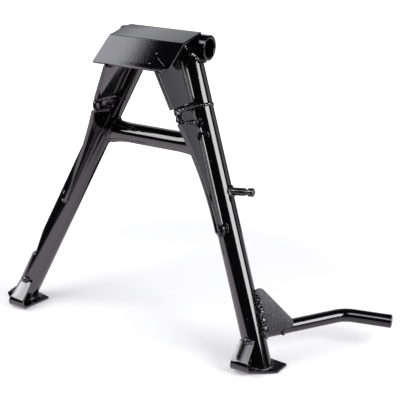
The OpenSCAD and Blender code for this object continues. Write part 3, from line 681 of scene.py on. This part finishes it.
# The welds round a link plate: on the left smooth runs and one big lump, on the right rougher ones
def linkWelds(near, side, seed):
    under = lowerTop - 0.9
    top = [near(1.0, 13.0, 63.5), near(1.2, 24.0, 64.6), near(1.0, 36.0, 66.2), near(0.6, 47.0, 67.4)]
    back = [near(-1.2, 13.0, 63.5), near(-1.4, 30.0, 65.4), near(-0.8, 47.0, 67.4)]
    low = [near(1.4, 13.0, under), near(1.4, 26.0, under + 0.2), near(1.4, 40.0, under)]
    lowBack = [near(-1.4, 13.0, under), near(-1.4, 26.0, under + 0.2), near(-1.4, 40.0, under)]
    lowRun = bead(low, 1.9, seed + 13, ripple=0.3, lump=0.35, pitch=1.6)
    if side < 0:
        back = [near(-0.4, 13.0, 64.0), near(-0.4, 30.0, 65.4), near(-0.2, 46.0, 67.0)]
        lowBack = [near(-0.5, 13.0, under), near(-0.5, 40.0, under)]
        return [bead(top, 2.2, seed + 11, ripple=0.0, lump=0.05), bead(back, 2.0, seed + 12, ripple=0.0, lump=0.03),
                lowRun, bead(lowBack, 1.6, seed + 14, ripple=0.0, lump=0.05),
                blob(near(0.0, 46.0, 73.5), (2.1, 5.6, 8.0), seed + 15, rough=0.03),
                blob(near(-2.4, 17.5, 73.5), (1.9, 4.0, 3.4), seed + 16, rough=0.35)]
    lumps = [((0.0, 43.5, 73.0), (3.0, 4.2, 5.4), 15, 0.3), ((0.4, 45.0, 69.0), (3.2, 3.6, 3.2), 16, 0.3),
             ((0.4, 43.5, 77.5), (3.2, 3.4, 3.4), 17, 0.3), ((3.4, 12.4, 78.5), (1.7, 1.5, 1.9), 40, 0.4),
             ((3.4, 12.5, 84.0), (1.5, 1.4, 2.4), 41, 0.4), ((4.6, 12.2, 93.0), (1.9, 1.5, 2.4), 42, 0.4),
             ((7.2, 10.9, 95.0), (1.7, 1.5, 2.6), 43, 0.4)]
    return [bead(top, 3.0, seed + 11, ripple=0.1, lump=0.12), bead(back, 3.0, seed + 12, ripple=0.1, lump=0.12),
            lowRun, bead(lowBack, 1.9, seed + 14, ripple=0.3, lump=0.35)] \
        + [blob(near(*at), radii, seed + k, rough=rough) for at, radii, k, rough in lumps]


for side, word in ((-1, "left"), (1, "right")):
    seed = 20 if side < 0 else 60
    off = offMiddle(side)
    near = lambda out, front, down: onLeg(out + off, front, down)

    angle = np.radians(np.linspace(0, 360, 140))
    radius = stand["legRadius"] + pivotRun["off"]
    ring = bead(roundLeg(radius, angle, onTube(angle, radius) + pivotRun["down"]), pivotRun["radius"], 3,
                ripple=pivotRun["ripple"], pitch=pivotRun["pitch"], lump=pivotRun["lump"], loop=True)
    piece(word + "PivotWeld", [ring], word + "_pivot_weld", glossWeld, side)

    angle = np.radians(np.linspace(0, 360, 90))
    ring = bead(roundLeg(stand["legRadius"] - ringRun["sunk"], angle, stand["joint"]), ringRun[word], seed,
                ripple=ringRun[word + "Ripple"], pitch=ringRun["pitch"], loop=True)
    piece(word + "RingWeld", [ring], word + "_ring_weld", glossTube if side < 0 else glossWeld, side)

    underCover = (innerFold + (8, -1.4), innerFold + (2, -2.4), innerEnd + (8, 3.2), innerEnd + (2, -0.6))
    underCover = [sideToLeg(*p) for p in underCover]
    runs = [bead([near(o, *p) for p in underCover], coverRun["radius"], seed + k, ripple=coverRun["ripple"])
            for k, o in enumerate((-coverRun["apart"], coverRun["apart"]))]
    piece(word + "CoverWeld", runs, word + "_cover_weld", glossWeld, side)

    runs = [fillet(filletRun["start"], gusset["upperBack"] - 2.4, face, filletRun["upper"], off, seed + 3)
            for face in (-1, 1)]
    piece(word + "UpperGussetWeld", runs, word + "_upper_gusset_weld", glossTube, side)

    runs = [fillet(lowerTop + 1, lowerEnd - 3, face, filletRun["lower"], off, seed + 5) for face in (-1, 1)]
    runs += [blob(near(0.0, 16.0, lowerEnd - 0.5), (2.8, 4.2, 2.6), seed + 7),
             blob(near(2.6, 14.6, lowerEnd - 4.0), (2.0, 2.2, 5.6), seed + 8, rough=0.3),
             blob(near(5.4, 12.4, lowerEnd - 4.6), (2.1, 1.9, 5.2), seed + 9, rough=0.3)]
    piece(word + "LowerGussetWeld", runs, word + "_lower_gusset_weld", glossWeld, side)

    piece(word + "LinkWeld", linkWelds(near, side, seed), word + "_link_weld", glossWeld, side)

    angle = np.radians(np.linspace(0, 360, 100))
    rise = braceRun["tall"] * np.sin(angle)
    ring = np.stack([braceRun["reach"] - rise * math.tan(splay), braceAt[1] + braceRun["deep"] * np.cos(angle),
                     braceAt[2] + rise], -1)
    ring = bead(ring, braceRun["radius"], seed + 21, ripple=braceRun["ripple"], lump=braceRun["lump"], loop=True)
    piece(word + "BraceWeld", [ring], word + "_brace_weld", glossTube, side)

    if side < 0:
        lumps = [blob(tongueAt + (0.6, 0.0, 0.0), (4.4, 3.6, 4.0), seed + 25, rough=0.08)]
    else:
        lumps = [blob(tongueAt, (5.6, 3.6, 3.8), seed + 25, rough=0.2),
                 blob(tongueAt + (4.5, 0.6, -0.4), (3.2, 3.0, 3.0), seed + 26)]
    piece(word + "TongueWeld", lumps, word + "_tongue_weld", glossWeld, side)

    angle = np.radians(np.linspace(0, 360, 120))
    radius = stand["legRadius"] + footRun["off"]
    ripple, lump = footRun[word]
    ring = bead(roundLeg(radius, angle, onPlate(angle, radius) - footRun["up"]), footRun["radius"], seed + 31,
                ripple=ripple, lump=lump, loop=True)
    piece(word + "FootWeld", [ring], word + "_foot_weld", glossWeld, side)

stitches = dict(radius=1.6, ripple=0.25, y=-1.4, up=0.7, spans=((-35, -13), (13, 35)))
stitchUp = stand["tubeRadius"] + stitches["up"]
runs = [bead([[x0, stitches["y"], stitchUp], [x1, stitches["y"], stitchUp]], stitches["radius"], 91 + k,
             ripple=stitches["ripple"]) for k, (x0, x1) in enumerate(stitches["spans"])]
piece("coverBackWeld", runs, "cover_back_weld", glossWeld)

# Round the lever: a ring on the leg's skin, from the circle's height over the leg's middle
leverRun = dict(radius=2.0, ring=7.4, off=0.3, ripple=0.25, lump=0.3)
angle = np.radians(np.linspace(0, 360, 70))
across, up = leverRun["ring"] * np.cos(angle), leverRun["ring"] * np.sin(angle)
ring = besideLever(np.sqrt(stand["legRadius"] ** 2 - across ** 2) + leverRun["off"], up, across)
ring = bead(ring, leverRun["radius"], 95, ripple=leverRun["ripple"], lump=leverRun["lump"], loop=True)
piece("leverWeld", [ring], "lever_weld", glossWeld)

# Up the lever's gusset: a wavering run, and a lump under the gusset's far end
webRun = dict(radius=2.9, ripple=0.35, lump=0.42, pitch=4.2, out=9.0, low=-6, high=39, count=12, waver=0.2)
rows = np.arange(webRun["count"])
column = besideLever(webRun["out"], np.linspace(webRun["low"], webRun["high"], webRun["count"]),
                     lever["radius"] + web["thickness"] + webRun["waver"] * (rows % 2))
webUp = bead(column, webRun["radius"], 97, ripple=webRun["ripple"], lump=webRun["lump"], pitch=webRun["pitch"])
webLump = blob(besideLever(29.0, -6.5, lever["radius"] + 1.6), (2.4, 2.4, 2.0), 99)
piece("leverGussetWeld", [webUp, webLump], "lever_gusset_weld", glossWeld)

# Round the peg: each point of a ring slides along the peg to the leg's skin, the larger root of a quadratic
pegRun = dict(radius=1.9, ring=4.4, off=0.2, ripple=0.2, lump=0.3)
backward = np.array([0.0, 1.0, 0.0])
ring = np.cos(angle)[:, None] * backward + np.sin(angle)[:, None] * np.cross(pegWay, backward)
ring = pegAt + ring * pegRun["ring"]
squareToLeg = lambda v: v - np.expand_dims(v @ legDown, -1) * legDown
apart, alongPeg = squareToLeg(ring - pegAt), squareToLeg(pegWay)
qa, qb = alongPeg @ alongPeg, 2 * apart @ alongPeg
qc = (apart ** 2).sum(1) - (stand["legRadius"] + pegRun["off"]) ** 2
ring = ring + pegWay * ((-qb + np.sqrt(np.maximum(qb ** 2 - 4 * qa * qc, 0))) / (2 * qa))[:, None]
ring = bead(ring, pegRun["radius"], 101, ripple=pegRun["ripple"], lump=pegRun["lump"], loop=True)
piece("pegWeld", [ring], "peg_weld", glossWeld)
print("welds ready")

# Floor. The paint's gloss sees a pale table, painted as the floor's glow for gloss rays only, that ends towards the
# camera and to the left.
# It is darker behind the stand, with a black field of painted shade whose edge ends the bright band on the left
# upper gusset. Edges and their softness are in metres.
studio = dict(floor=(0.88, 0.88, 0.88), size=14.0, lift=0.12, ambient=0.42, nearLift=0.10, farLift=0.80,
              farFrom=0.22, farSoft=0.55)
table = dict(near=1.12, rear=0.66, rearEnd=0.02, rearSoft=0.14, sideEnd=0.22, sideSoft=0.20, corner=0.37,
             cornerSoft=0.05, front=-0.92, frontSoft=0.22, left=-1.10, leftSoft=0.35, back=1.20, backSoft=0.35,
             darkFrom=0.07, darkSoft=0.03, darkX=0.034, slope=1.71, darkAt=(0.040, 0.275), darkEdge=0.006,
             farRear=0.30, beyond=0.02, tint=(1.03, 0.95, 1.02))
floorMesh = bpy.data.meshes.new("floor")
s, z = studio["size"], -stand["height"] * 0.001
floorMesh.from_pydata([(-s, -s, z), (s, -s, z), (s, s, z), (-s, s, z)], [], [(0, 1, 2, 3)])
floor = bpy.data.objects.new("floor", floorMesh)
bpy.context.scene.collection.objects.link(floor)
floorPaint = bpy.data.materials.new("floorPaint")
floorPaint.use_nodes = True
tree = floorPaint.node_tree
tree.nodes.clear()
spotX = addNode(tree, "ShaderNodeSeparateXYZ", {0: addNode(tree, "ShaderNodeTexCoord", out="Object")}, out="X")
spotY = Wire(tree, spotX.socket.node.outputs["Y"])
corner = ((spotX - spotY) * 0.7).below(table["corner"], table["cornerSoft"])
sides = spotY.above(table["front"], table["frontSoft"]) * spotX.above(table["left"], table["leftSoft"])
sides = sides * spotY.below(table["back"], table["backSoft"])
near = spotY.below(table["rearEnd"], table["rearSoft"]) * spotX.below(table["sideEnd"], table["sideSoft"])
# painted shade: a black field behind the stand, with a sloped edge, in the glow that only the gloss sees
fieldEdge = (spotX - table["darkAt"][0]) * table["slope"] + table["darkAt"][1] - spotY
lit = spotX.above(table["darkX"], table["darkEdge"]) * fieldEdge.above(-table["darkEdge"] / 2, table["darkEdge"])
paintedShadeField = spotY.above(table["darkFrom"], table["darkSoft"]) * (lit * (1 + table["farRear"]) - 1.0) + 1.0
glow = corner * sides * paintedShadeField * (near * (table["near"] - table["rear"]) + table["rear"]) + table["beyond"]

# only what the camera sees of the floor is lifted to white, more with the distance from the stand
fromStand = (spotX * spotX + spotY * spotY).math("SQRT")
toCamera = addNode(tree, "ShaderNodeLightPath", out="Is Camera Ray")
lift = fromStand.above(studio["farFrom"], studio["farSoft"]) * studio["farLift"] + studio["nearLift"]
lift = toCamera * lift + studio["lift"]
white = addNode(tree, "ShaderNodeCombineColor", {k: lift for k in range(3)})
plain = addNode(tree, "ShaderNodeBsdfPrincipled", {"Base Color": (*studio["floor"], 1.0), "Roughness": 1.0,
                "Specular IOR Level": 0.0, "Emission Strength": 1.0, "Emission Color": white})
shine = addNode(tree, "ShaderNodeCombineColor", {k: glow * table["tint"][k] for k in range(3)})
mirror = addNode(tree, "ShaderNodeBsdfPrincipled", {"Base Color": (0.0, 0.0, 0.0, 1.0), "Specular IOR Level": 0.0,
                 "Emission Strength": 1.0, "Emission Color": shine})
toGloss = addNode(tree, "ShaderNodeLightPath", out="Is Glossy Ray")
blend = addNode(tree, "ShaderNodeMixShader", {0: toGloss, 1: plain, 2: mirror})
addNode(tree, "ShaderNodeOutputMaterial", {0: blend})
floorMesh.materials.append(floorPaint)
print("floor ready")


# The direction of a turn from the front (-Y) towards +X, and a height in degrees
def facing(turn, up):
    t, e = math.radians(turn), math.radians(up)
    return np.array([math.sin(t) * math.cos(e), -math.cos(t) * math.cos(e), math.sin(e)])


# Two soft boxes that look at one point: turn, height and distance from it, width, height and radiance
aim = np.array([0.05, -0.03, -0.15])
boxes = [dict(name="rightBox", turn=87.7, up=24.0, away=1.01, wide=0.64, tall=0.57, glow=6.8),
         dict(name="leftBox", turn=-51.5, up=34.6, away=0.90, wide=0.62, tall=0.44, glow=5.4)]
for b in boxes:
    lamp = bpy.data.lights.new(b["name"], "AREA")
    lamp.shape, lamp.size, lamp.size_y = "RECTANGLE", b["wide"], b["tall"]
    lamp.energy = b["glow"] * math.pi * b["wide"] * b["tall"]
    made = bpy.data.objects.new(b["name"], lamp)
    made.location = (aim + facing(b["turn"], b["up"]) * b["away"]).tolist()
    made.rotation_euler = (math.radians(90.0 - b["up"]), 0.0, math.radians(b["turn"]))
    bpy.context.scene.collection.objects.link(made)

# The room: soft patches by turn and height, which only the paint's gloss sees, and a plain level for the
# rest. A patch is 1 where both angles from its middle are small: the arctangents of two dot products.
room = dict(dark=0.01, colour=(0.97, 0.975, 1.05, 1.0))
patches = [dict(turn=-92, up=47.3, wide=20, tall=10, soft=7, glow=2.5),
           dict(turn=-147, up=26.5, wide=10, tall=9, soft=6, glow=0.95),
           dict(turn=-150, up=12, wide=18, tall=9, soft=8, glow=0.35),
           dict(turn=146, up=6, wide=17, tall=14, soft=8, glow=0.57),
           dict(turn=-3, up=57, wide=20, tall=11, soft=6, glow=3.4)]
world = bpy.data.worlds.new("studio")
bpy.context.scene.world = world
world.use_nodes = True
tree = world.node_tree
tree.nodes.clear()
way = addNode(tree, "ShaderNodeTexCoord", out="Generated")
light = room["dark"]
for p in patches:
    middle = facing(p["turn"], p["up"])
    sideways = facing(p["turn"] + 90, 0.0)
    depth = vector(tree, "DOT_PRODUCT", way, middle, out="Value")
    part = depth.above(0.05, 0.01) * p["glow"]
    depth = depth.math("MAXIMUM", 0.05)
    for axis, reach in ((sideways, p["wide"]), (np.cross(sideways, middle), p["tall"])):
        tangent = vector(tree, "DOT_PRODUCT", way, axis, out="Value") / depth
        degrees = tangent.math("ARCTANGENT").math("ABSOLUTE") * (180.0 / math.pi)
        part = part * degrees.below(reach + p["soft"] / 2, p["soft"])
    light = part + light
toGloss = addNode(tree, "ShaderNodeLightPath", out="Is Glossy Ray")
strength = addNode(tree, "ShaderNodeMix", {0: toGloss, 2: studio["ambient"], 3: light}, data_type="FLOAT")
ground = addNode(tree, "ShaderNodeBackground", {"Color": room["colour"], "Strength": strength})
addNode(tree, "ShaderNodeOutputWorld", {0: ground})
print("light ready")

view = dict(position=(512.37, -834.40, 216.96), turn=29.47, down=21.86, focal=955.95, pixels=400.0, sensor=36.0)
lens = bpy.data.cameras.new("camera")
lens.sensor_width = view["sensor"]
lens.lens = view["sensor"] * view["focal"] / view["pixels"]
lens.clip_start, lens.clip_end = 0.01, 100.0
camera = bpy.data.objects.new("camera", lens)
camera.location = [v * 0.001 for v in view["position"]]
camera.rotation_euler = (math.radians(90.0 - view["down"]), 0.0, math.radians(view["turn"]))
bpy.context.scene.collection.objects.link(camera)
bpy.context.scene.camera = camera
bpy.context.scene.view_settings.view_transform = "Standard"
print("studio ready")
